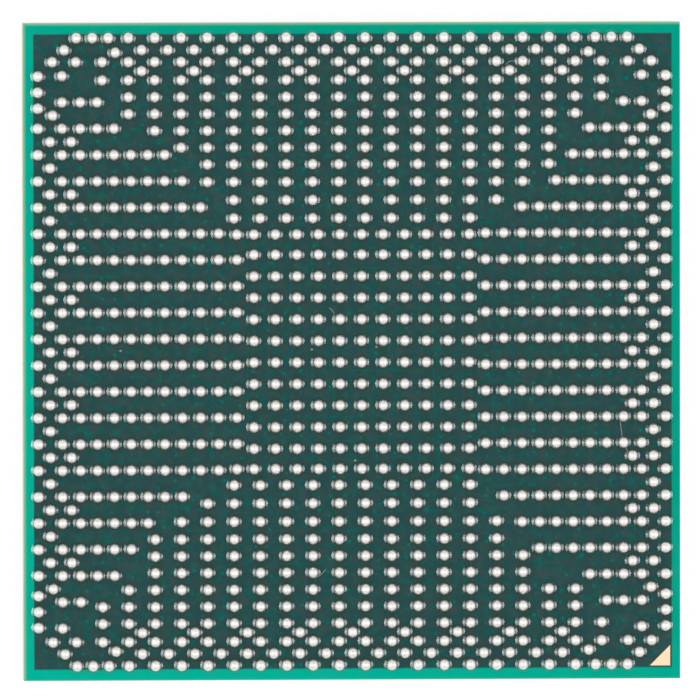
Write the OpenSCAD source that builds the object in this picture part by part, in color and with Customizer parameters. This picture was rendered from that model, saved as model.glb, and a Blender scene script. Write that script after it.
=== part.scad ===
// Flip-chip ball grid array package, lying on its bare die with the solder balls up.
//
// Millimetres. The origin is the middle of the die's back, which rests on the table, and +Z
// points out of the ball side. The corner mark for ball A1 is at +X, -Y.
//
// A square laminate board carries a copper layer and a solder mask on its ball side. Each
// ball is soldered to a round copper land through an opening in the mask. The silicon die
// hangs from the other side on its bumps, and an epoxy underfill holds it.
//
// The balls lie in "tiers", which run along a side of the board, and in "lanes", which run
// inwards from it. One side's pattern is turned four times round the centre, and a square
// block of balls at a wider pitch fills the middle.

/* [Board] */
// Side of the square board
board_side = 25; // [24.8:0.1:28]
// Thickness of the laminate between its two solder masks
laminate_t = 1.06; // [0.6:0.02:1.6]
// Thickness of the solder mask, over the copper and on the die side
mask_t = 0.02; // [0.01:0.005:0.04]

/* [Copper] */
// Thickness of the copper on the ball side
copper_t = 0.015; // [0.01:0.005:0.03]
// Bare margin of laminate beyond the copper plane at -X
margin_left = 0.4; // [0.1:0.01:0.5]
// Bare margin at +X, narrower because the saw cut isn't quite centred
margin_right = 0.32; // [0.1:0.01:0.5]
// Bare margin at +Y and at -Y
margin_ends = 0.43; // [0.1:0.01:0.5]
// Diameter of a ball's round land
land_d = 0.54; // [0.48:0.01:0.56]
// Gap between a land and the plane around it
land_gap = 0.02; // [0.01:0.005:0.02]

/* [Solder balls] */
// Diameter of a ball
ball_d = 0.45; // [0.36:0.01:0.47]
// Diameter of the flat where a ball meets its land
ball_foot_d = 0.3; // [0.2:0.01:0.34]
// Gap between a ball's neck and the mask round it
mask_gap = 0.01; // [0.005:0.005:0.03]

/* [Ball rows along the sides] */
// From the board's edge to the middle of the outermost tier
edge_inset = 0.57; // [0.5:0.01:0.65]
// Distance from lane to lane
lane_pitch = 1; // [0.98:0.005:1.02]
// From the outermost tier to the first tier of the lanes
edge_step = 0.904; // [0.86:0.002:0.95]
// Step between the closest tiers
fine_step = 0.641; // [0.55:0.001:0.66]
// Step between the wider tiers
wide_step = 0.692; // [0.6:0.001:0.72]

/* [Ball rows at the corners] */
// Distance between the three balls at each end of the outermost tier
tight_pitch = 0.608; // [0.5:0.002:0.65]
// How far those three stop short of the corner of the outermost tier
corner_cut = 1.45; // [1.35:0.01:1.6]
// Sideways step of the two balls that cut each corner off
corner_step = 0.458; // [0.4:0.002:0.5]
// Depth below the outermost tier of the last staggered ball on each side
deep_stagger = 0.548; // [0.5:0.002:0.6]

/* [Centre block of balls] */
// Distance between the balls of the centre block
block_pitch = 0.82; // [0.6:0.005:0.835]
// From the centre to the block's outer rows and its +X column
block_reach = 4.46; // [4.4:0.01:4.6]

/* [Corner mark] */
// Length of the two short sides of the gold triangle
mark_leg = 0.77; // [0.4:0.01:0.85]
// From the triangle to the edges of the copper plane
mark_inset = 0.06; // [0.04:0.005:0.08]
// Thickness of its plating over the copper
mark_t = 0.012; // [0.004:0.001:0.03]

/* [Die] */
// Size of the die along X
die_x = 9.8; // [6:0.1:14]
// Size of the die along Y
die_y = 9; // [6:0.1:14]
// Thickness of the die
die_t = 0.775; // [0.3:0.025:0.9]
// Height of the gap that the bumps hold open between the die and the mask
bump_gap = 0.07; // [0.04:0.005:0.12]
// Diameter of a die bump
bump_d = 0.12; // [0.06:0.01:0.16]
// Distance between the bumps
bump_pitch = 0.4; // [0.35:0.01:0.8]
// From the die's edge to the edge of the window in the die-side mask
window_inset = 0.3; // [0.15:0.01:0.5]

/* [Underfill] */
// How far the underfill runs out over the mask
fillet_w = 0.8; // [0.3:0.05:1.6]
// How far it climbs the sides of the die
fillet_climb = 0.45; // [0.15:0.01:0.55]
// Thickness of its feathered edges
fillet_lip = 0.02; // [0.01:0.005:0.04]
// Corner radius of its outline on the mask
fillet_r = 0.9; // [0.2:0.05:1.5]

/* [Hidden] */
$fn = 24;

// Levels, from the die's back up to the mask that the balls stand out of
mask_low = die_t + bump_gap;
laminate_low = mask_low + mask_t;
laminate_top = laminate_low + laminate_t;
copper_top = laminate_top + copper_t;
board_top = copper_top + mask_t;

// A ball's middle stands this high over its land, and the mask opening clears its neck
ball_rise = sqrt(pow(ball_d, 2) - pow(ball_foot_d, 2)) / 2;
opening_d = 2 * (sqrt(pow(ball_d / 2, 2) - pow(ball_rise - mask_t, 2)) + mask_gap);

// ---- Where the balls are ----

// Each side has 22 lanes, and this many balls in each after the outermost tier
full_lane_count = 10;
lane_balls = [1, 3, 4, 7, 8, 9, for (i = [1 : 10]) full_lane_count, 8, 6, 5, 4, 2, 1];
lanes = len(lane_balls);
left = 0;
front = 1;
right = 2;
back = 3;

edge_tier = board_side / 2 - edge_inset;
function tier_step(n) =
    n == 1 ? edge_step
    : n == 2 || n > 8 ? wide_step
    : n == 8 ? (fine_step + wide_step) / 2
    : fine_step;
// Distance of tier n from the centre line: 0 is the outermost one
function tier(n) = n == 0 ? edge_tier : tier(n - 1) - tier_step(n);
function lane(k) = ((lanes - 1) / 2 - k) * lane_pitch;
// A point of the -X side's pattern, taken round to another side
function turned(p, side) = side == 0 ? p : turned([-p.y, p.x], side - 1);

// The left side's eight middle lanes are one ball longer, and one lane of the front side,
// near the corner mark, is one ball shorter
function balls_in_lane(side, k) =
    side == left && lane_balls[k] == full_lane_count && abs(lane(k)) < 4 * lane_pitch
        ? full_lane_count + 1
    : side == front && k == lanes - 4 ? lane_balls[k] - 1
    : lane_balls[k];
function lane_places(side) = [
    for (k = [0 : lanes - 1], n = [1 : balls_in_lane(side, k)])
        turned([-tier(n), lane(k)], side)
];

// The outermost tier has a ball at each lane, and three closer ones at each end
tier_end = edge_tier - corner_cut;
edge_places = [
    for (side = [left : back]) each [
        for (k = [2 : lanes - 3]) turned([-edge_tier, lane(k)], side),
        for (i = [0 : 2], end = [-1, 1])
            turned([-edge_tier, end * (tier_end - i * tight_pitch)], side)
    ]
];

// Staggered balls stand between the lanes: a full row inside the outermost tier, with one
// deeper ball past each end of it, then every second place in the next row
outer_stagger = (tier(0) + tier(1)) / 2;
inner_stagger = (tier(1) + tier(2)) / 2;
last_stagger_index = 8;
deep_stagger_lane = (last_stagger_index + 1) * lane_pitch;
staggered_places = [
    for (side = [left : back]) each [
        for (i = [-last_stagger_index : last_stagger_index])
            turned([-outer_stagger, i * lane_pitch], side),
        for (end = [-1, 1]) turned([deep_stagger - edge_tier, end * deep_stagger_lane], side),
        for (i = [-last_stagger_index : 2 : last_stagger_index])
            turned([-inner_stagger, i * lane_pitch], side)
    ]
];

// Two balls cut off each corner, one in line with the staggered row, one with tier 1
corner_places = [
    for (sx = [-1, 1], sy = [-1, 1]) each [
        [sx * (tier_end + corner_step), sy * outer_stagger],
        [sx * (tier_end + 2 * corner_step), sy * tier(1)]
    ]
];

// The centre block has 11 columns and 12 rows. Its outer rows are drawn in a little, and
// run one ball further, to the end of the left side's long lanes
block_columns = 11;
block_rows = 12;
function block_row(j) =
    j == 0 ? -block_reach
    : j == block_rows - 1 ? block_reach
    : (j - (block_rows - 1) / 2) * block_pitch;
centre_places = [
    for (i = [0 : block_columns - 1], j = [0 : block_rows - 1])
        [block_reach - i * block_pitch, block_row(j)],
    for (end = [-1, 1]) [-tier(full_lane_count + 1), end * block_reach]
];

all_places = concat(
    centre_places, edge_places, staggered_places, corner_places,
    lane_places(left), lane_places(front), lane_places(right), lane_places(back)
);

// ---- Outlines ----

plane_low = [margin_left - board_side / 2, margin_ends - board_side / 2];
plane_high = [board_side / 2 - margin_right, board_side / 2 - margin_ends];

module board_outline() {
    square(board_side, center = true);
}

module plane_outline() {
    translate(plane_low) square(plane_high - plane_low);
}

module discs(places, d) {
    for (p = places) translate(p) circle(d = d);
}

// The corner mark's right angle is in the plane's +X, -Y corner; grow moves every side out
module mark_outline(grow = 0) {
    corner = [plane_high.x - mark_inset + grow, plane_low.y + mark_inset - grow];
    leg = mark_leg + (2 + sqrt(2)) * grow;
    translate(corner) polygon([[0, 0], [0, leg], [-leg, 0]]);
}

module die_outline() {
    square([die_x, die_y], center = true);
}

module window_outline() {
    square([die_x - 2 * window_inset, die_y - 2 * window_inset], center = true);
}

// ---- Board ----

module laminate() {
    color("#e9e2cc")
    translate([0, 0, laminate_low]) linear_extrude(laminate_t) board_outline();
}

// One copper plane, cleared round every land
module copper_plane() {
    color("#b87345")
    translate([0, 0, laminate_top]) linear_extrude(copper_t) difference() {
        plane_outline();
        discs(all_places, land_d + 2 * land_gap);
    }
}

module ball_lands() {
    color("#c98a55")
    translate([0, 0, laminate_top]) linear_extrude(copper_t) discs(all_places, land_d);
}

// The mask covers the copper. Beyond the plane it comes down to the laminate, round the
// lands that reach out there
module ball_side_mask() {
    color("#2a504e") {
        translate([0, 0, copper_top]) linear_extrude(mask_t) difference() {
            board_outline();
            discs(all_places, opening_d);
            mark_outline(mask_gap);
        }
        translate([0, 0, laminate_top]) linear_extrude(copper_t) difference() {
            board_outline();
            plane_outline();
            discs(edge_places, land_d);
        }
    }
}

module corner_mark() {
    color("#ffdebc")
    translate([0, 0, copper_top]) linear_extrude(mark_t) mark_outline();
}

// ---- Solder balls ----

// A ball is a sphere that has wetted its land with a flat foot
module ball() {
    intersection() {
        translate([0, 0, ball_rise]) sphere(d = ball_d);
        cylinder(d = 2 * ball_d, h = 2 * ball_d);
    }
}

module balls(places) {
    color("#dfe2e4")
    for (p = places) translate([p.x, p.y, copper_top]) ball();
}

module centre_balls() {
    balls(centre_places);
}

module left_balls() {
    balls(lane_places(left));
}

module right_balls() {
    balls(lane_places(right));
}

module back_balls() {
    balls(lane_places(back));
}

module front_balls() {
    balls(lane_places(front));
}

module edge_balls() {
    balls(edge_places);
}

module staggered_balls() {
    balls(staggered_places);
}

module corner_balls() {
    balls(corner_places);
}

// ---- Die side ----

// The mask is open under the die, where the bumps land
module die_side_mask() {
    color("#0b7f69")
    translate([0, 0, mask_low]) linear_extrude(mask_t) difference() {
        board_outline();
        window_outline();
    }
}

// As many bumps as fit in the window, each clear of its edge by its own width
function bump_count(size) =
    floor((size - 2 * window_inset - 3 * bump_d) / bump_pitch);
bumps_x = bump_count(die_x);
bumps_y = bump_count(die_y);
bump_places = [
    for (i = [0 : bumps_x], j = [0 : bumps_y])
        [(i - bumps_x / 2) * bump_pitch, (j - bumps_y / 2) * bump_pitch]
];

module die_bumps() {
    color("#c9ccd0")
    translate([0, 0, die_t]) linear_extrude(bump_gap + mask_t) discs(bump_places, bump_d);
}

// The epoxy runs out from under the die in a sloping skirt, and fills the gap and the
// mask's window between the bumps
module underfill_skirt() {
    difference() {
        hull() {
            translate([0, 0, mask_low - fillet_lip]) linear_extrude(fillet_lip)
                offset(r = fillet_r) offset(delta = fillet_w - fillet_r) die_outline();
            translate([0, 0, die_t - fillet_climb]) linear_extrude(fillet_lip)
                offset(delta = fillet_lip) die_outline();
        }
        linear_extrude(2 * mask_low) die_outline();
    }
}

module underfill() {
    color("#3b3a36") {
        underfill_skirt();
        translate([0, 0, die_t]) linear_extrude(bump_gap) difference() {
            die_outline();
            discs(bump_places, bump_d);
        }
        translate([0, 0, mask_low]) linear_extrude(mask_t) difference() {
            window_outline();
            discs(bump_places, bump_d);
        }
    }
}

module die() {
    color("#8f979d")
    linear_extrude(die_t) die_outline();
}

laminate();
copper_plane();
ball_lands();
ball_side_mask();
corner_mark();
centre_balls();
left_balls();
right_balls();
back_balls();
front_balls();
edge_balls();
staggered_balls();
corner_balls();
die_side_mask();
die_bumps();
underfill();
die();
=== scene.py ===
"""Looks of a flip-chip ball grid array package, lying on its bare die with its solder balls up."""

import math

import bpy
import numpy as np
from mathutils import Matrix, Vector


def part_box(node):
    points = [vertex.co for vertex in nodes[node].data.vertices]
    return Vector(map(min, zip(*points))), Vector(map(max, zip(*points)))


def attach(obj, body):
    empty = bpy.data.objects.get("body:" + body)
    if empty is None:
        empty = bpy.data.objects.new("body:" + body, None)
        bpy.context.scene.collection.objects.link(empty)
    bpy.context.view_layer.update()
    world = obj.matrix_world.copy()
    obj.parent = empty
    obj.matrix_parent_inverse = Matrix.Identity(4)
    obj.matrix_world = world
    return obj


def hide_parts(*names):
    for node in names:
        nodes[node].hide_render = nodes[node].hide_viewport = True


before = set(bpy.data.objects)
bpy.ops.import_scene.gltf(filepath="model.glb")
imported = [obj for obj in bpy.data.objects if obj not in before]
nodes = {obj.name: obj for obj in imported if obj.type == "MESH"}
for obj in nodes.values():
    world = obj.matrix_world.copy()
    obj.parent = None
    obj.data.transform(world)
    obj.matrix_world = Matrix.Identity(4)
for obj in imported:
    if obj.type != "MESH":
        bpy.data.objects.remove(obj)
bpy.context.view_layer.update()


# ---- Laminate ----
# The board is a glass-cloth and resin laminate, pressed in layers and sawn to size. Its
# four sawn walls are bare: cream resin, with the cut ends of the glass yarns in thin lines.
# Next to the film the resin takes on some of its green.

MM = 0.001


def shader(name, **plain):
    """A material with a Principled shader that has these plain values, its tree and shader."""
    made = bpy.data.materials.new(name)
    made.use_nodes = True
    tree = made.node_tree
    principled = tree.nodes["Principled BSDF"]
    for socket, value in plain.items():
        principled.inputs[socket.replace("_", " ")].default_value = value
    return made, tree, principled


def add(tree, kind, sockets=None, **settings):
    """A shader node of that kind, with its settings, and a value or a link on each socket."""
    made = tree.nodes.new("ShaderNode" + kind)
    for name, value in settings.items():
        setattr(made, name, value)
    for socket, value in (sockets or {}).items():
        if isinstance(value, bpy.types.NodeSocket):
            tree.links.new(value, made.inputs[socket])
        else:
            made.inputs[socket].default_value = value
    return made


def object_mm(tree, scale=(1, 1, 1)):
    """The object's own coordinates in millimetres, stretched by scale."""
    place = add(tree, "TexCoord").outputs["Object"]
    stretch = [s / MM for s in scale]
    return add(tree, "Mapping", {"Vector": place, "Scale": stretch}).outputs["Vector"]


def number(tree, operation, a, b=0.0, c=0.0):
    """One sum on two or three numbers."""
    return add(tree, "Math", {0: a, 1: b, 2: c}, operation=operation).outputs[0]


def between(tree, value, low, high, to_low=0.0, to_high=1.0):
    """A smooth step from to_low at low up to to_high at high."""
    sockets = {"Value": value, "From Min": low, "From Max": high}
    sockets.update({"To Min": to_low, "To Max": to_high})
    step = add(tree, "MapRange", sockets, interpolation_type="SMOOTHSTEP")
    return step.outputs["Result"]


def blend(tree, amount, a, b):
    """Colour a, going over to colour b as amount goes from 0 to 1."""
    return add(tree, "Mix", {0: amount, 6: a, 7: b}, data_type="RGBA").outputs[2]


def noise(tree, place, scale, detail=2.0, roughness=0.5):
    """Cloudy noise from 0 to 1, with scale bumps to each unit of place."""
    sockets = {"Vector": place, "Scale": scale, "Detail": detail, "Roughness": roughness}
    return add(tree, "TexNoise", sockets).outputs["Fac"]


def bump(tree, height, strength, distance):
    """A normal that follows the height, at most distance deep, in metres."""
    sockets = {"Height": height, "Strength": strength, "Distance": distance}
    return add(tree, "Bump", sockets).outputs["Normal"]


def srgb(r, g, b):
    """A colour as it shows on a screen, 0 to 255 a channel, turned into light values."""
    shown = np.array([r, g, b]) / 255
    light = np.where(shown <= 0.04045, shown / 12.92, ((shown + 0.055) / 1.055) ** 2.4)
    return (*light.tolist(), 1.0)


def wear(node, material):
    """Gives a CAD node its material."""
    nodes[node].data.materials.clear()
    nodes[node].data.materials.append(material)


board_low, board_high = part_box("laminate")
laminate_finish, tree, principled = shader("sawn_laminate", Roughness=0.7)
board_place = object_mm(tree)
resin = blend(tree, noise(tree, board_place, 1.2), srgb(226, 217, 188), srgb(240, 234, 212))
yarn = between(tree, noise(tree, object_mm(tree, (1, 1, 9)), 1.6, 3.0), 0.52, 0.66)
resin = blend(tree, yarn, resin, srgb(206, 194, 158))
height = add(tree, "SeparateXYZ", {0: board_place}).outputs[2]
uneven = number(tree, "MULTIPLY_ADD", noise(tree, board_place, 0.8), 0.3, height)
top_mm = board_high.z / MM
TINT_DEPTH_MM = 0.35
tinted = between(tree, uneven, top_mm - TINT_DEPTH_MM, top_mm + 0.2, 0.0, 0.9)
resin = blend(tree, tinted, resin, srgb(120, 184, 146))
tree.links.new(resin, principled.inputs["Base Color"])
saw_marks = noise(tree, object_mm(tree, (1, 1, 0.2)), 14.0, 2.0)
tree.links.new(bump(tree, saw_marks, 0.4, 4e-6), principled.inputs["Normal"])
wear("laminate", laminate_finish)


# ---- Copper ----
# The ball side carries one plane of copper foil and a round land for each ball. Both lie
# under the mask, and a land shows only in the thin gap round the foot of its ball.

copper_finish, tree, principled = shader("copper_foil", Metallic=1.0, Roughness=0.4)
foil = noise(tree, object_mm(tree), 5.0, 3.0)
foil_colour = blend(tree, foil, srgb(176, 110, 74), srgb(214, 150, 108))
tree.links.new(foil_colour, principled.inputs["Base Color"])
wear("copper_plane", copper_finish)
wear("ball_lands", copper_finish)


# ---- Solder mask on the ball side ----
# A glossy green film of resin, printed over the copper. It looks dark where it lies on
# the copper and bright teal where it lies on bare laminate: in the margin round the plane,
# and faintly at the small holes that are etched in the plane.

plane_low, plane_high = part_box("copper_plane")
mask_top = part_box("ball_side_mask")[1].z

FILM_DARK = srgb(39, 76, 75)
FILM_BROWN = srgb(60, 76, 76)
FILM_GREEN = srgb(8, 96, 88)
TEAL = srgb(0, 174, 148)
TEAL_DEEP = srgb(0, 156, 131)
TEAL_PALE = srgb(154, 192, 152)


def past_box(tree, place, low, high):
    """How far a place lies outside a box seen from above, below zero inside it, in mm."""
    split = add(tree, "SeparateXYZ", {0: place})
    sides = []
    for axis in (0, 1):
        middle = (low[axis] + high[axis]) / 2 / MM
        half = (high[axis] - low[axis]) / 2 / MM
        off = number(tree, "SUBTRACT", split.outputs[axis], middle)
        sides.append(number(tree, "SUBTRACT", number(tree, "ABSOLUTE", off), half))
    return number(tree, "MAXIMUM", *sides)


def film_group():
    """A node group with the green film's colour, gloss and unevenness over foil or bare board."""
    group = bpy.data.node_groups.new("green_film", "ShaderNodeTree")
    for name in ("Dark", "Bare"):
        group.interface.new_socket(name, in_out="INPUT", socket_type="NodeSocketColor")
    group.interface.new_socket("Bareness", in_out="INPUT", socket_type="NodeSocketFloat")
    group.interface.new_socket("Color", in_out="OUTPUT", socket_type="NodeSocketColor")
    group.interface.new_socket("Roughness", in_out="OUTPUT", socket_type="NodeSocketFloat")
    group.interface.new_socket("Normal", in_out="OUTPUT", socket_type="NodeSocketVector")
    given = group.nodes.new("NodeGroupInput").outputs
    out = group.nodes.new("NodeGroupOutput")
    place = object_mm(group)
    grain = noise(group, place, 11.0, 2.0, 0.7)
    shifted = add(group, "Mapping", {"Vector": place, "Location": (37, 11, 5)}).outputs[0]
    brown = number(group, "MULTIPLY_ADD", grain, 0.5, noise(group, place, 3.0, 2.0))
    brown = between(group, brown, 0.66, 0.95, 0.0, 0.75)
    colour = blend(group, brown, given["Dark"], FILM_BROWN)
    green = number(group, "MULTIPLY_ADD", grain, -0.5, noise(group, shifted, 4.5, 2.0))
    green = between(group, green, 0.24, 0.48, 0.0, 0.8)
    colour = blend(group, green, colour, FILM_GREEN)
    # Small holes in the foil, one to a cell, each with its own reach and strength.
    holes = add(group, "TexVoronoi", {"Vector": place, "Scale": 1.7, "Randomness": 0.9},
                voronoi_dimensions="2D")
    draws = add(group, "SeparateColor", {0: holes.outputs["Color"]})
    reach = between(group, draws.outputs[1], 0.0, 1.0, 0.08, 0.16)
    depth = number(group, "SUBTRACT", 1.0, number(group, "DIVIDE", holes.outputs["Distance"], reach))
    hole = between(group, depth, 0.0, 0.45)
    hole = number(group, "MULTIPLY", hole, between(group, draws.outputs[0], 0.1, 0.9, 0.15, 1.0))
    colour = blend(group, hole, colour, srgb(0, 110, 98))
    colour = blend(group, given["Bareness"], colour, given["Bare"])
    group.links.new(colour, out.inputs["Color"])
    gloss = between(group, noise(group, place, 1.4, 2.0), 0.3, 0.7, 0.08, 0.13)
    group.links.new(gloss, out.inputs["Roughness"])
    peel = noise(group, place, 2.0, 2.0)
    group.links.new(bump(group, peel, 0.25, 2e-6), out.inputs["Normal"])
    return group


green_film = film_group()


def film_material(name, dark, bareness_of, bare_of):
    """A material that places the green film group and tells it where the board is bare."""
    made, tree, principled = shader(name, IOR=1.45)
    film = tree.nodes.new("ShaderNodeGroup")
    film.node_tree = green_film
    film.inputs["Dark"].default_value = dark
    place = object_mm(tree)
    tree.links.new(bareness_of(tree, place), film.inputs["Bareness"])
    tree.links.new(bare_of(tree, place), film.inputs["Bare"])
    tree.links.new(film.outputs["Color"], principled.inputs["Base Color"])
    tree.links.new(film.outputs["Roughness"], principled.inputs["Roughness"])
    tree.links.new(film.outputs["Normal"], principled.inputs["Normal"])
    return made


def off_the_plane(tree, place):
    """Nothing over the copper plane, all beyond it, with a soft step at the foil's edge."""
    return between(tree, past_box(tree, place, plane_low, plane_high), -0.03, 0.05)


def margin_colour(tree, place):
    """Cloudy teal, deeper to the right and the back, and paler along the saw cuts."""
    across = add(tree, "SeparateXYZ", {0: place}).outputs
    depth = number(tree, "ADD", across[0], across[1])
    depth = number(tree, "MULTIPLY_ADD", noise(tree, place, 0.5, 2.0), 12.0, depth)
    teal = blend(tree, between(tree, depth, -8.0, 20.0), TEAL, TEAL_DEEP)
    cut_low = board_low - Vector((0, 0.07, 0)) * MM
    cut_high = board_high + Vector((0.13, 0, 0)) * MM
    thin = between(tree, past_box(tree, place, cut_low, cut_high), -0.13, 0.03)
    return blend(tree, thin, teal, TEAL_PALE)


wear("ball_side_mask", film_material("ball_side_mask", FILM_DARK, off_the_plane, margin_colour))


# ---- Splits of the copper plane ----
# The plane is split here and there by a thin gap between two nets. The film lies on bare
# laminate there, so a faint teal line shows.


def sweep(name, paths, section):
    """One mesh with a closed section carried along each path, and both ends closed.

    The section is a list of (sideways, up) pairs. At each point of a path, sideways is the
    level direction square to the path, and up is +Z.
    """
    points, faces = [], []
    count = len(section)
    for path in paths:
        path = np.asarray(path, float)
        along = np.gradient(path, axis=0)[:, :2]
        along /= np.linalg.norm(along, axis=1)[:, None]
        side = np.stack([-along[:, 1], along[:, 0], np.zeros(len(path))], -1)
        spread = np.asarray(section)
        tube = path[:, None] + side[:, None] * spread[None, :, :1]
        tube[..., 2] += spread[None, :, 1]
        first = len(points)
        points.extend(tube.reshape(-1, 3).tolist())
        row, step = np.meshgrid(np.arange(len(path) - 1), np.arange(count), indexing="ij")
        here = first + row * count + step
        beside = first + row * count + (step + 1) % count
        quads = np.stack([here, beside, beside + count, here + count], -1)
        faces.extend(quads.reshape(-1, 4).tolist())
        last = first + (len(path) - 1) * count
        faces.append(list(range(first + count - 1, first - 1, -1)))
        faces.append(list(range(last, last + count)))
    mesh = bpy.data.meshes.new(name)
    mesh.from_pydata(points, [], faces)
    piece = bpy.data.objects.new(name, mesh)
    bpy.context.scene.collection.objects.link(piece)
    return piece


def finish_piece(piece, material, slot, *replaced):
    """Gives a new piece its material and fixes it to the package. The slot is not used."""
    piece.data.materials.append(material)
    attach(piece, "root")
    if replaced:
        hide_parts(*replaced)


split_lines = [
    (3.11, 4.22, 3.11, -2.62), (-0.93, -0.72, 2.02, -0.72), (-1.97, -2.5, 0.5, -2.5),
    (-1.97, -3.43, 1.26, -3.43), (0.31, 3.18, 2.3, 3.18), (-2.35, 3.08, -2.35, 0.8),
    (-4.63, 1.37, -4.63, 0.61), (4.77, -0.53, 4.77, -3.0), (4.96, -1.19, 5.91, -1.19),
    (6.01, -1.76, 6.01, -2.24), (3.54, -0.15, 4.68, -0.15), (-0.98, 0.8, -0.98, -0.15),
    (0.69, 1.18, 0.69, -0.15), (-3.97, -0.05, -3.97, -3.95), (-4.06, 4.3, -4.06, 3.75),
    (5.53, 1.18, 5.82, 0.8), (-5.39, -1.86, -4.82, -2.24), (-3.21, 6.5, -3.21, 5.27),
]
SPLIT_W = 0.055 * MM
SPLIT_SUNK = -0.003 * MM
SPLIT_PROUD = 0.0015 * MM
split_paths = [[(a * MM, b * MM, mask_top), (c * MM, d * MM, mask_top)]
               for a, b, c, d in split_lines]
split_section = [(-SPLIT_W / 2, SPLIT_SUNK), (SPLIT_W / 2, SPLIT_SUNK),
                 (SPLIT_W / 2, SPLIT_PROUD), (-SPLIT_W / 2, SPLIT_PROUD)]
splits = sweep("plane_splits", split_paths, split_section)
split_finish, tree, principled = shader("film_over_split", Roughness=0.1, IOR=1.45)
broken = between(tree, noise(tree, object_mm(tree), 1.6, 3.0), 0.35, 0.65, 0.15, 0.85)
split_colour = blend(tree, broken, FILM_DARK, srgb(0, 100, 90))
tree.links.new(split_colour, principled.inputs["Base Color"])
finish_piece(splits, split_finish, "ball_side_mask")


# ---- Solder balls ----
# Bright tin-silver solder. Each ball was placed on its land and melted, which drew it into
# a sphere with a flat foot. The skin is slightly rough, with small pits.


def ball_places(node):
    """The middles of a node's balls seen from above: the points at its highest level."""
    mesh = nodes[node].data
    points = np.empty(len(mesh.vertices) * 3, np.float32)
    mesh.vertices.foreach_get("co", points)
    points = points.reshape(-1, 3).astype(float)
    tops = points[points[:, 2] > points[:, 2].max() - 1e-7, :2]
    return np.unique(np.round(tops, 6), axis=0)


def turned(name, radii, heights, places, turns, top=None, crisp=False):
    """One mesh with a turned profile at each place, smooth but for the faces that close it.

    A point is (x + r cos a, y + r sin a, z) for each profile pair (r, z), and for turns
    even steps of the angle a. With a top, a fan closes the first ring to a point at that
    height and a flat face closes the last ring. Without one, the last ring joins the first.
    The rings are creases if crisp.
    """
    angle = np.arange(turns) * 2 * np.pi / turns
    level = np.repeat(np.asarray(heights, float)[:, None], turns, 1)
    shape = np.stack([np.outer(radii, np.cos(angle)), np.outer(radii, np.sin(angle)), level], -1)
    shape = shape.reshape(-1, 3)
    rings = len(radii)
    row, step = np.meshgrid(np.arange(rings - (top is not None)), np.arange(turns), indexing="ij")
    here, beside = row * turns + step, row * turns + (step + 1) % turns
    under, under_beside = (here + turns) % (rings * turns), (beside + turns) % (rings * turns)
    faces = np.stack([here, under, under_beside, beside], -1).reshape(-1, 4).tolist()
    if top is not None:
        shape = np.vstack([shape, [0, 0, top]])
        faces += [[rings * turns, i, (i + 1) % turns] for i in range(turns)]
        faces.append(list(range(rings * turns - 1, (rings - 1) * turns - 1, -1)))
    count = len(places)
    spots = np.column_stack([places, np.zeros(count)])
    points = (shape[None] + spots[:, None]).reshape(-1, 3)
    corners = np.concatenate(faces)
    sizes = np.tile([len(face) for face in faces], count)
    corners = (corners[None] + (np.arange(count) * len(shape))[:, None]).ravel()
    mesh = bpy.data.meshes.new(name)
    mesh.vertices.add(len(points))
    mesh.vertices.foreach_set("co", points.astype(np.float32).ravel())
    mesh.loops.add(len(corners))
    mesh.loops.foreach_set("vertex_index", corners.astype(np.int32))
    mesh.polygons.add(len(sizes))
    starts = np.concatenate([[0], np.cumsum(sizes)[:-1]])
    mesh.polygons.foreach_set("loop_start", starts.astype(np.int32))
    mesh.update(calc_edges=True)
    closing = np.arange(len(faces)) >= (rings - 1) * turns + (turns if top is not None else 0)
    mesh.polygons.foreach_set("use_smooth", np.tile(~closing, count))
    if crisp:
        ends = np.empty(len(mesh.edges) * 2, np.int32)
        mesh.edges.foreach_get("vertices", ends)
        ring = ends.reshape(-1, 2) % len(shape) // turns
        mesh.edges.foreach_set("use_edge_sharp", ring[:, 0] == ring[:, 1])
    piece = bpy.data.objects.new(name, mesh)
    bpy.context.scene.collection.objects.link(piece)
    return piece


solder_finish, tree, principled = shader("bright_solder", Metallic=1.0)
solder_place = object_mm(tree)
tone = noise(tree, solder_place, 0.9, 1.0)
clean = blend(tree, tone, srgb(237, 234, 230), srgb(249, 246, 243))
pits = add(tree, "TexVoronoi", {"Vector": solder_place, "Scale": 7.0, "Randomness": 1.0})
pit = between(tree, pits.outputs["Distance"], 0.22, 0.08)
deep = add(tree, "SeparateColor", {0: pits.outputs["Color"]}).outputs[0]
pit = number(tree, "MULTIPLY", pit, between(tree, deep, 0.4, 0.9, 0.0, 0.7))
tree.links.new(blend(tree, pit, clean, srgb(176, 168, 166)), principled.inputs["Base Color"])
skin = noise(tree, solder_place, 16.0, 2.0)
tree.links.new(between(tree, skin, 0.3, 0.7, 0.38, 0.46), principled.inputs["Roughness"])
tree.links.new(bump(tree, skin, 0.05, 3e-6), principled.inputs["Normal"])

ball_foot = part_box("ball_lands")[1].z
ball_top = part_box("edge_balls")[1].z
BALL_FOOT_D = 0.3 * MM
BALL_TURNS = 12
ball_rise = ball_top - ball_foot
BALL_R = (ball_rise**2 + (BALL_FOOT_D / 2) ** 2) / (2 * ball_rise)
foot_angle = math.pi - math.asin(BALL_FOOT_D / 2 / BALL_R)
ball_angles = np.append(np.radians([20, 40, 60, 82, 108]), foot_angle)
ball_radii = BALL_R * np.sin(ball_angles)
ball_heights = ball_top - BALL_R + BALL_R * np.cos(ball_angles)

all_places = []
for node in ("centre_balls", "left_balls", "right_balls", "back_balls", "front_balls",
             "edge_balls", "staggered_balls", "corner_balls"):
    all_places.append(ball_places(node))
    balls = turned("solder_" + node, ball_radii, ball_heights, all_places[-1], BALL_TURNS,
                   ball_top)
    finish_piece(balls, solder_finish, "solder", node)
wear("die_bumps", solder_finish)


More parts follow.
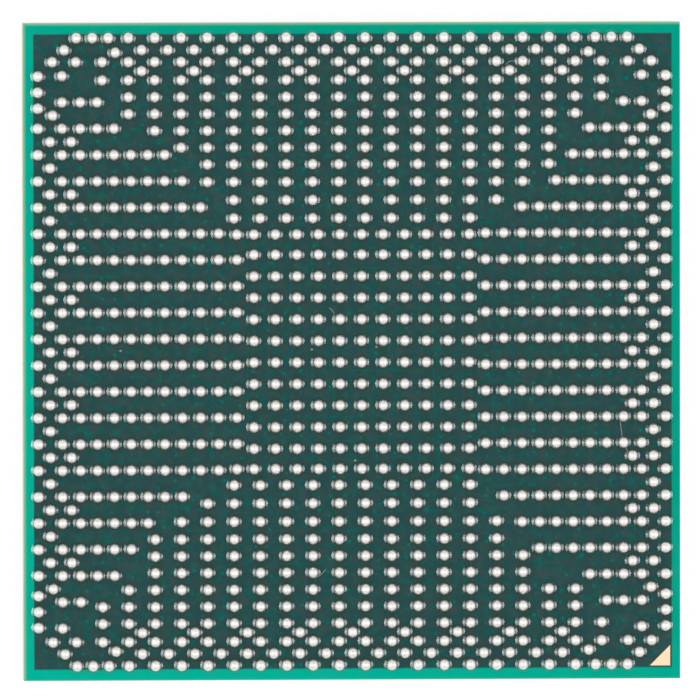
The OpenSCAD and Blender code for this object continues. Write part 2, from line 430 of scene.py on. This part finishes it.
# ---- Rims of the mask round the lands ----
# Round each ball the film rises to its opening and once more over the edge of the land. The
# two low steps slope gently outward, and catch the lamps at the sides as thin bright arcs.

rim_radii = np.array([0.212, 0.212, 0.252, 0.256, 0.302]) * MM
rim_heights = mask_top + np.array([-0.002, 0.015, 0.0043, 0.0113, -0.001]) * MM
rims = turned("mask_rims", rim_radii, rim_heights, np.vstack(all_places), BALL_TURNS,
              crisp=True)
rim_finish, tree, principled = shader("mask_rim", Roughness=0.1, IOR=1.5, Specular_IOR_Level=0.5)
rim_place = object_mm(tree)
# The rim's colour is partly the film's own over the land's edge and partly painted shade: it is
# darker than the field, to give the dark halo round the foot of each ball.
rim_colour_and_shade = blend(tree, noise(tree, rim_place, 3.0), srgb(4, 48, 38), srgb(22, 58, 48))
rim_colour_and_shade = blend(tree, off_the_plane(tree, rim_place), rim_colour_and_shade, TEAL_DEEP)
tree.links.new(rim_colour_and_shade, principled.inputs["Base Color"])
finish_piece(rims, rim_finish, "ball_side_mask")


# ---- Corner mark ----
# The triangle by ball A1 is a patch of the copper that the mask leaves bare. It is plated
# with pale gold, over a matt grain that was etched into the foil.

gold_finish, tree, principled = shader("gold_plating", Metallic=1.0)
mark_place = object_mm(tree)
grain = noise(tree, mark_place, 22.0, 3.0)
gold = blend(tree, grain, srgb(246, 211, 164), srgb(252, 233, 208))
tree.links.new(gold, principled.inputs["Base Color"])
tree.links.new(between(tree, grain, 0.3, 0.7, 0.45, 0.6), principled.inputs["Roughness"])
tree.links.new(bump(tree, grain, 0.3, 2e-6), principled.inputs["Normal"])
wear("corner_mark", gold_finish)


# ---- Mask on the die side ----
# The same green film is printed on the other side of the board, round the window for the
# die. Its margin is teal as well, where no copper lies under it.

wear("die_side_mask", film_material("die_side_mask", srgb(6, 92, 76), off_the_plane, margin_colour))


# ---- Die ----
# A bare silicon chip, soldered face down on its bumps. Its back, the side that shows, was
# ground thin and polished, and the wheel left faint streaks.

silicon_finish, tree, principled = shader("ground_silicon", Metallic=1.0)
swirl = noise(tree, object_mm(tree, (0.4, 9, 1)), 2.0, 3.0)
silicon_colour = blend(tree, swirl, srgb(150, 156, 162), srgb(176, 182, 188))
tree.links.new(silicon_colour, principled.inputs["Base Color"])
tree.links.new(between(tree, swirl, 0.3, 0.7, 0.2, 0.34), principled.inputs["Roughness"])
tree.links.new(bump(tree, swirl, 0.2, 2e-6), principled.inputs["Normal"])
wear("die", silicon_finish)


# ---- Underfill ----
# Dark epoxy, drawn in under the die while it was liquid. It stands as a concave fillet
# from the die's wall out to the mask, and its edge on the mask wavers a little.

die_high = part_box("die")[1]
fill_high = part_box("underfill")[1]
FILLET_LIP = 0.02 * MM
FILLET_LOW = 0.325 * MM
FILLET_SUNK = -0.01 * MM
FILLET_LEVELS = 12
CORNER_STEPS = 9
fillet_w = fill_high.x - die_high.x
fillet_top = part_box("die_side_mask")[0].z


def fillet_ring(name):
    """The fillet as one closed ring round the die.

    Its outline at a run-out w is the die's rectangle grown by w with corners of 9/8 w. The
    run-out starts at the lip by the die's wall and grows with the height to the power 2.4.
    """
    rise = np.linspace(0, 1, FILLET_LEVELS)
    run = FILLET_LIP + (fillet_w - FILLET_LIP) * rise**2.4
    level = FILLET_LOW + (fillet_top - FILLET_LIP - FILLET_LOW) * rise
    run = np.concatenate([[FILLET_SUNK], run, [fillet_w, FILLET_SUNK]])
    level = np.concatenate([[FILLET_LOW], level, [fillet_top, fillet_top]])
    corner = np.tile(np.linspace(0, 1, CORNER_STEPS), 4)
    quarter = np.repeat(np.arange(4), CORNER_STEPS)
    angle = (quarter + corner) * np.pi / 2
    sign_x = np.array([1, -1, -1, 1])[quarter]
    sign_y = np.array([1, 1, -1, -1])[quarter]
    along = np.arange(len(angle))
    waver = 1 - 0.03 * (1 + np.sin(along * 1.7) * np.sin(along * 0.53 + 1))
    out = np.where(run[:, None] > FILLET_LIP * 1.5, run[:, None] * waver, run[:, None])
    radius = np.maximum(out * 9 / 8, 1e-6)
    x = sign_x * (die_high.x + out - radius) + radius * np.cos(angle)
    y = sign_y * (die_high.y + out - radius) + radius * np.sin(angle)
    points = np.stack([x, y, np.repeat(level[:, None], len(angle), 1)], -1).reshape(-1, 3)
    rows, steps = len(run), len(angle)
    row, step = np.meshgrid(np.arange(rows), np.arange(steps), indexing="ij")
    here, beside = row * steps + step, row * steps + (step + 1) % steps
    over, over_beside = (here + steps) % (rows * steps), (beside + steps) % (rows * steps)
    faces = np.stack([here, beside, over_beside, over], -1).reshape(-1, 4)
    mesh = bpy.data.meshes.new(name)
    mesh.from_pydata(points.tolist(), [], faces.tolist())
    mesh.polygons.foreach_set("use_smooth", np.repeat(np.arange(rows) < rows - 3, steps))
    piece = bpy.data.objects.new(name, mesh)
    bpy.context.scene.collection.objects.link(piece)
    return piece


epoxy_finish, tree, principled = shader("underfill_epoxy", Roughness=0.3)
cloud = noise(tree, object_mm(tree), 1.5, 3.0)
epoxy_colour = blend(tree, cloud, srgb(34, 32, 30), srgb(60, 57, 52))
tree.links.new(epoxy_colour, principled.inputs["Base Color"])
tree.links.new(bump(tree, noise(tree, object_mm(tree), 7.0), 0.2, 4e-6), principled.inputs["Normal"])
finish_piece(fillet_ring("underfill_fillet"), epoxy_finish, "underfill", "underfill")


# ---- Lint ----
# A few loose cotton fibres lie on the film between the balls, some of them curled up into
# specks.


def fibre(*points):
    """A path by these (x, y) points, in mm, which lies on the film.

    The straight runs between the points are cut into even steps, and each inner point is
    averaged with its two neighbours four times. The height rises and falls as half a wave.
    """
    knots = np.array(points)
    t = np.linspace(0, len(knots) - 1, 6 * len(knots))
    bent = np.stack([np.interp(t, np.arange(len(knots)), knots[:, k]) for k in (0, 1)], -1)
    soft = bent.copy()
    for _ in range(4):
        soft[1:-1] = (soft[:-2] + soft[1:-1] * 2 + soft[2:]) / 4
    rise = 0.012 + 0.03 * np.sin(np.linspace(0, np.pi, len(t)))
    return np.column_stack([soft * MM, mask_top + rise * MM])


lint_paths = [fibre((10.21, -2.5), (10.25, -3.0), (10.33, -3.5), (10.6, -4.05)),
              fibre((-0.88, 1.66), (-0.78, 1.6), (-0.66, 1.42)),
              fibre((-1.4, -8.62), (-1.2, -8.5), (-1.0, -8.3)),
              fibre((5.86, 10.88), (6.0, 11.02), (6.18, 11.02))]
for x, y in ((-8.81, 0.04), (-1.53, 0.07), (0.93, 0.16), (0.12, -4.16)):
    curl = np.linspace(0, 3.2 * np.pi, 9)
    reach = np.linspace(0.05, 0.012, 9)
    lint_paths.append(fibre(*zip(x + reach * np.cos(curl), y + 0.8 * reach * np.sin(curl))))
LINT_R = 0.011 * MM
lint_angle = np.arange(5) * 2 * np.pi / 5
lint_section = LINT_R * np.stack([np.cos(lint_angle), np.sin(lint_angle)], -1)
lint = sweep("lint", lint_paths, lint_section)
lint_finish, tree, principled = shader("cotton_lint", Roughness=0.8)
lint_tone = blend(tree, noise(tree, object_mm(tree), 6.0), srgb(130, 140, 134), srgb(205, 205, 196))
tree.links.new(lint_tone, principled.inputs["Base Color"])
finish_piece(lint, lint_finish, "ball_side_mask")


# ---- Table, tent and lamps ----
# A white table under a pale tent. The tent has a dark opening for the lens, which keeps
# the flat film dark. A curved lamp stands at the left, and a shorter one at the right.

TABLE_HALF = 2.0
TABLE_LEVEL = -0.001 * MM
table_mesh = bpy.data.meshes.new("table")
table_corners = [(x * TABLE_HALF, y * TABLE_HALF, TABLE_LEVEL)
                 for x, y in ((-1, -1), (1, -1), (1, 1), (-1, 1))]
table_mesh.from_pydata(table_corners, [], [(0, 1, 2, 3)])
table = bpy.data.objects.new("table", table_mesh)
bpy.context.scene.collection.objects.link(table)
table_finish = bpy.data.materials.new("white_table")
table_finish.use_nodes = True
tree = table_finish.node_tree
tree.nodes.clear()
path = add(tree, "LightPath").outputs
seen = number(tree, "MAXIMUM", path["Is Camera Ray"], path["Is Glossy Ray"])
seen = number(tree, "MAXIMUM", seen, path["Is Transmission Ray"])
paper = add(tree, "BsdfDiffuse", {"Color": (0.9, 0.9, 0.9, 1)}).outputs[0]
glow = add(tree, "Emission", {"Color": (1, 1, 1, 1), "Strength": 1.05}).outputs[0]
share = number(tree, "MULTIPLY", seen, 0.85)
mixed = add(tree, "MixShader", {0: share, 1: paper, 2: glow}).outputs[0]
add(tree, "OutputMaterial", {"Surface": mixed})
table_mesh.materials.append(table_finish)

camera_place = Vector((-39, 29, 702)) * MM
lens_way = Vector((-camera_place.x, -camera_place.y, camera_place.z)).normalized()
world = bpy.data.worlds.new("tent")
bpy.context.scene.world = world
world.use_nodes = True
tree = world.node_tree
tree.nodes.clear()
way = add(tree, "TexCoord").outputs["Generated"]
aim = add(tree, "SeparateXYZ", {0: way}).outputs
cloth = between(tree, aim[2], 0.0, 0.7, 0.76, 0.78)
cloth = number(tree, "MULTIPLY_ADD", number(tree, "MULTIPLY", aim[0], aim[0]), 0.25, cloth)
facing = add(tree, "VectorMath", {0: way, 1: lens_way}, operation="DOT_PRODUCT").outputs["Value"]
wide, narrow = math.cos(math.radians(7)), math.cos(math.radians(4))
opening = between(tree, facing, wide, narrow, 1.0, 0.0)
tent = number(tree, "MULTIPLY", cloth, opening)
to_lens = add(tree, "LightPath").outputs["Is Camera Ray"]
level = add(tree, "Mix", {0: to_lens, 2: tent, 3: 1.0}, data_type="FLOAT").outputs[0]
sky = add(tree, "Background", {"Color": (1, 1, 1, 1), "Strength": level}).outputs[0]
add(tree, "OutputWorld", {"Surface": sky})


LAMP_DISTANCE = 0.5
LAMP_W = 0.055


def lamp(name, azimuth, polar, length, radiance):
    """A level strip lamp that faces the package, polar degrees down from overhead."""
    a, p = math.radians(azimuth), math.radians(polar)
    way = Vector((math.sin(p) * math.cos(a), math.sin(p) * math.sin(a), math.cos(p)))
    light = bpy.data.lights.new(name, "AREA")
    light.shape = "RECTANGLE"
    light.size, light.size_y = length, LAMP_W
    light.energy = radiance * math.pi * length * LAMP_W
    made = bpy.data.objects.new(name, light)
    made.location = way * LAMP_DISTANCE
    made.rotation_euler = way.to_track_quat("Z", "Y").to_euler()
    made.visible_camera = False
    bpy.context.scene.collection.objects.link(made)


for azimuth, radiance in ((155, 5.0), (170, 9.5), (185, 13.0), (200, 9.5), (215, 5.5)):
    lamp("left_lamp_" + str(azimuth), azimuth, 26.8, 0.06, radiance)
for azimuth, radiance in ((340, 7.5), (354, 12.5), (8, 7.5)):
    lamp("right_lamp_" + str(azimuth), azimuth, 33.2, 0.065, radiance)


# ---- Camera ----
# The view is from almost overhead, a little from the left and the back, through a long
# lens, so that the rows of balls stay parallel.

CAMERA_TURN = (-2.3606, -3.1855, -0.0703)
camera = bpy.data.objects.new("camera", bpy.data.cameras.new("camera"))
camera.location = camera_place
camera.rotation_euler = [math.radians(a) for a in CAMERA_TURN]
camera.data.sensor_width = 36
camera.data.lens = 949.3
camera.data.clip_start, camera.data.clip_end = 0.01, 10
bpy.context.scene.collection.objects.link(camera)
bpy.context.scene.camera = camera

bpy.context.scene.view_settings.view_transform = "Standard"
